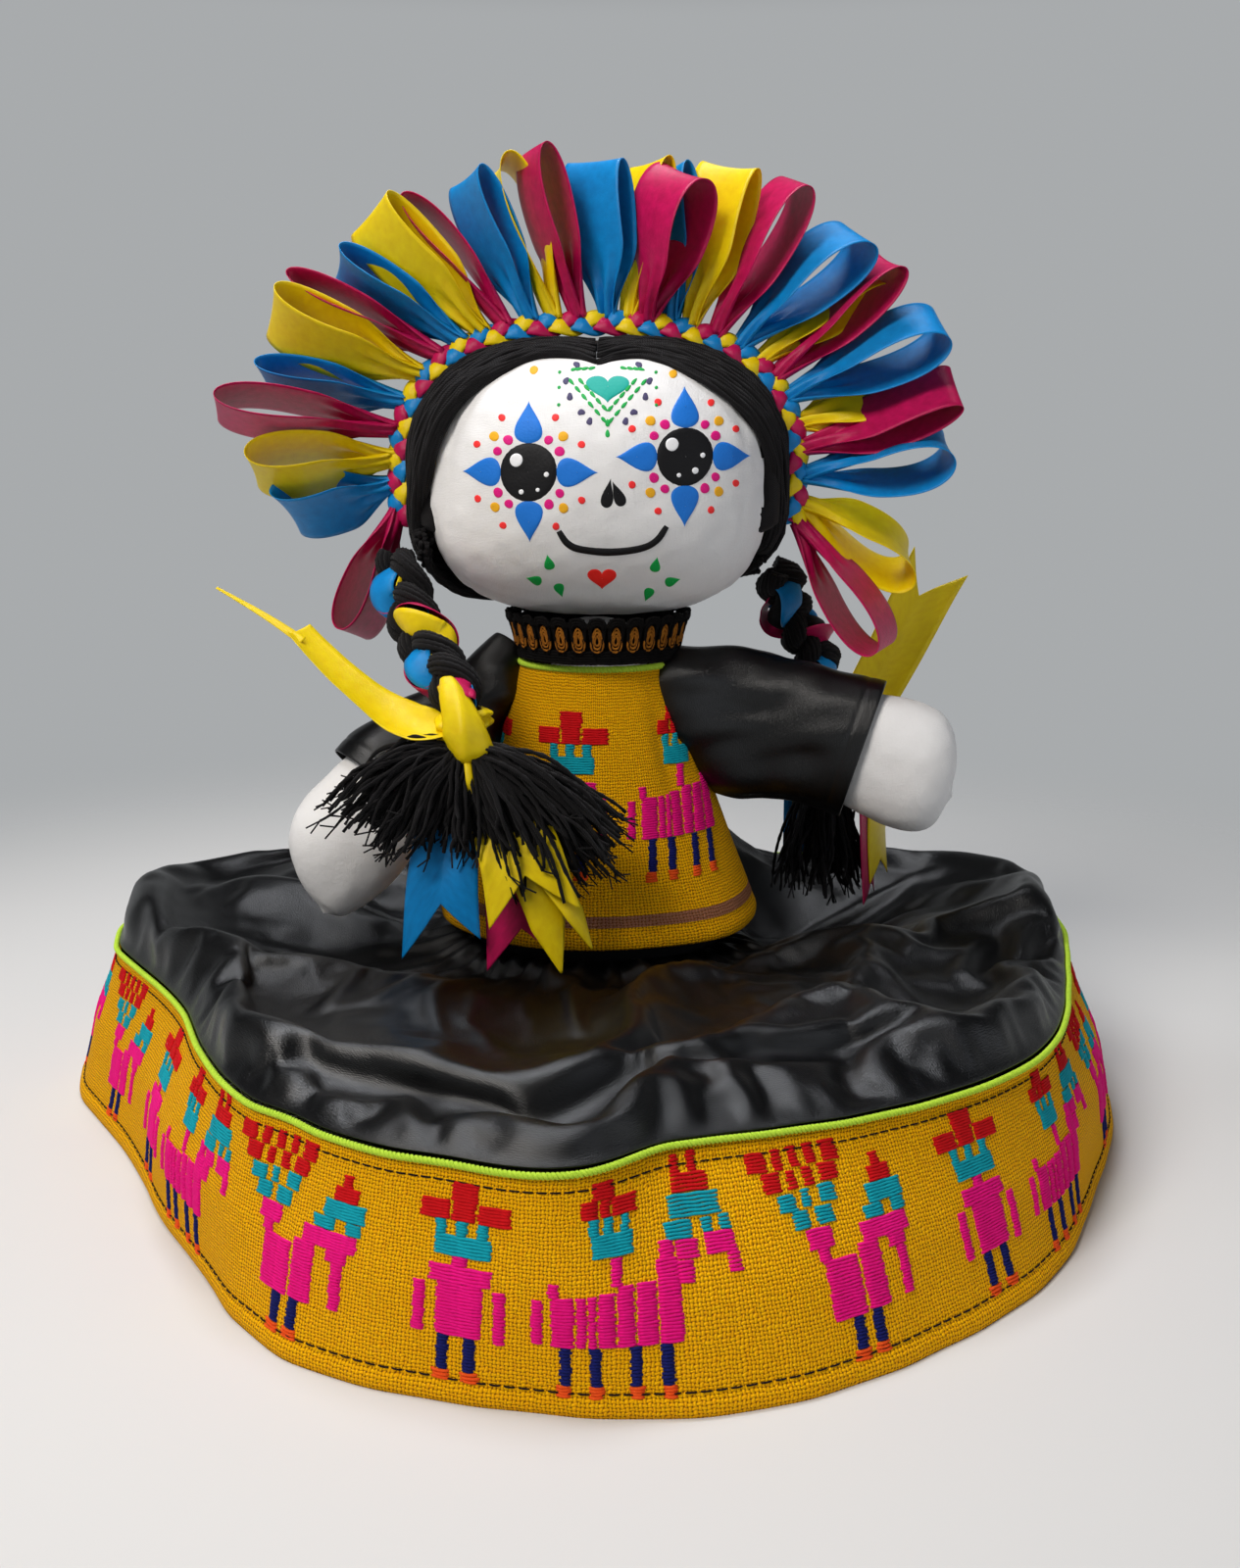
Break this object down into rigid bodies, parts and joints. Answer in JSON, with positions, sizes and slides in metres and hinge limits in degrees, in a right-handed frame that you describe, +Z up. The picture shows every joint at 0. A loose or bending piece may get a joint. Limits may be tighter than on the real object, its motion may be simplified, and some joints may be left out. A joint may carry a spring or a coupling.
{
  "type": "cloth rag doll",
  "caption": "Seated stuffed cloth doll with a painted sugar-skull face, yarn braids, a fan-shaped crown of ribbon loops, a satin blouse and a full satin skirt with a woven border.",
  "frame": {"origin": "middle of the flat seat under the torso, on the surface the doll sits on", "axes": "+Z up, -Y the way the face looks, +X towards the doll's own left hand"},
  "size_m": [0.3437, 0.3013, 0.2996],
  "materials": {
    "manta": "matte plain-weave cotton, off-white",
    "black_satin": "glossy black satin",
    "yellow_woven": "coarse plain weave, yellow-orange, with embroidered figures",
    "lime_trim": "matte crochet edging",
    "yarn": "matte twisted black yarn",
    "lace": "black crochet lace with a dull gold thread",
    "elastic": "matte woven elastic",
    "blue_ribbon": "satin ribbon",
    "magenta_ribbon": "satin ribbon",
    "yellow_ribbon": "satin ribbon"
  },
  "bodies": {
    "torso": {"torso": "manta", "blouse_back": "black_satin", "front_panel": "yellow_woven", "panel_trim": "lime_trim", "lace_collar": "lace", "skirt_satin": "black_satin", "skirt_border": "yellow_woven", "skirt_trim": "lime_trim", "waist_elastic": "elastic"},
    "head": {"head": "manta", "hair": "yarn", "crown_braid": "magenta_ribbon", "crown_loop_01_magenta": "magenta_ribbon", "crown_loop_02_blue": "blue_ribbon", "crown_loop_03_yellow": "yellow_ribbon", "crown_loop_04_magenta": "magenta_ribbon", "crown_loop_05_blue": "blue_ribbon", "crown_loop_06_yellow": "yellow_ribbon", "crown_loop_07_magenta": "magenta_ribbon", "crown_loop_08_blue": "blue_ribbon", "crown_loop_09_yellow": "yellow_ribbon", "crown_loop_10_magenta": "magenta_ribbon", "crown_loop_11_blue": "blue_ribbon", "crown_loop_12_yellow": "yellow_ribbon", "crown_loop_13_magenta": "magenta_ribbon", "crown_loop_14_blue": "blue_ribbon", "crown_loop_15_yellow": "yellow_ribbon", "crown_loop_16_magenta": "magenta_ribbon", "crown_loop_17_blue": "blue_ribbon", "crown_loop_18_yellow": "yellow_ribbon", "crown_loop_19_magenta": "magenta_ribbon", "crown_loop_20_blue": "blue_ribbon", "crown_loop_21_yellow": "yellow_ribbon", "crown_loop_22_magenta": "magenta_ribbon", "crown_loop_23_blue": "blue_ribbon", "crown_loop_24_yellow": "yellow_ribbon", "crown_loop_25_magenta": "magenta_ribbon", "crown_loop_26_blue": "blue_ribbon", "crown_loop_27_yellow": "yellow_ribbon", "crown_loop_28_magenta": "magenta_ribbon"},
    "left_arm": {"left_arm": "manta", "left_sleeve": "black_satin"},
    "right_arm": {"right_arm": "manta", "right_sleeve": "black_satin"},
    "left_braid": {"left_braid": "yarn", "left_tie": "yellow_ribbon", "left_tassel": "yarn", "left_blue_tail": "blue_ribbon", "left_magenta_tail": "magenta_ribbon", "left_yellow_tail": "yellow_ribbon", "left_tie_end": "yellow_ribbon"},
    "right_braid": {"right_braid": "yarn", "right_tie": "yellow_ribbon", "right_tassel": "yarn", "right_blue_tail": "blue_ribbon", "right_magenta_tail": "magenta_ribbon", "right_yellow_tail": "yellow_ribbon", "right_tie_end": "yellow_ribbon"},
    "left_leg": {"left_leg": "manta"},
    "right_leg": {"right_leg": "manta"}
  },
  "joints": [
    {"name": "neck_turn", "type": "hinge", "parent": "torso", "child": "head", "pos_m": [0, 0, 0.15], "axis": [0, 0, 1], "range_deg": [-8, 12]},
    {"name": "left_shoulder", "type": "hinge", "parent": "torso", "child": "left_arm", "pos_m": [0.038, 0.002, 0.133], "axis": [0, -1, 0], "range_deg": [-30, 30]},
    {"name": "right_shoulder", "type": "hinge", "parent": "torso", "child": "right_arm", "pos_m": [-0.038, 0.002, 0.133], "axis": [0, 1, 0], "range_deg": [-5, 35]},
    {"name": "left_braid_swing", "type": "hinge", "parent": "head", "child": "left_braid", "pos_m": [0.058, 0.015, 0.17], "axis": [1, 0, 0], "range_deg": [0, 40]},
    {"name": "right_braid_swing", "type": "hinge", "parent": "head", "child": "right_braid", "pos_m": [-0.058, -0.013, 0.176], "axis": [-1, 0, 0], "range_deg": [0, 45]},
    {"name": "left_hip", "type": "hinge", "parent": "torso", "child": "left_leg", "pos_m": [0.021, -0.046, 0.015], "axis": [1, 0, 0], "range_deg": [0, 90]},
    {"name": "right_hip", "type": "hinge", "parent": "torso", "child": "right_leg", "pos_m": [-0.021, -0.046, 0.015], "axis": [1, 0, 0], "range_deg": [0, 90]}
  ]
}
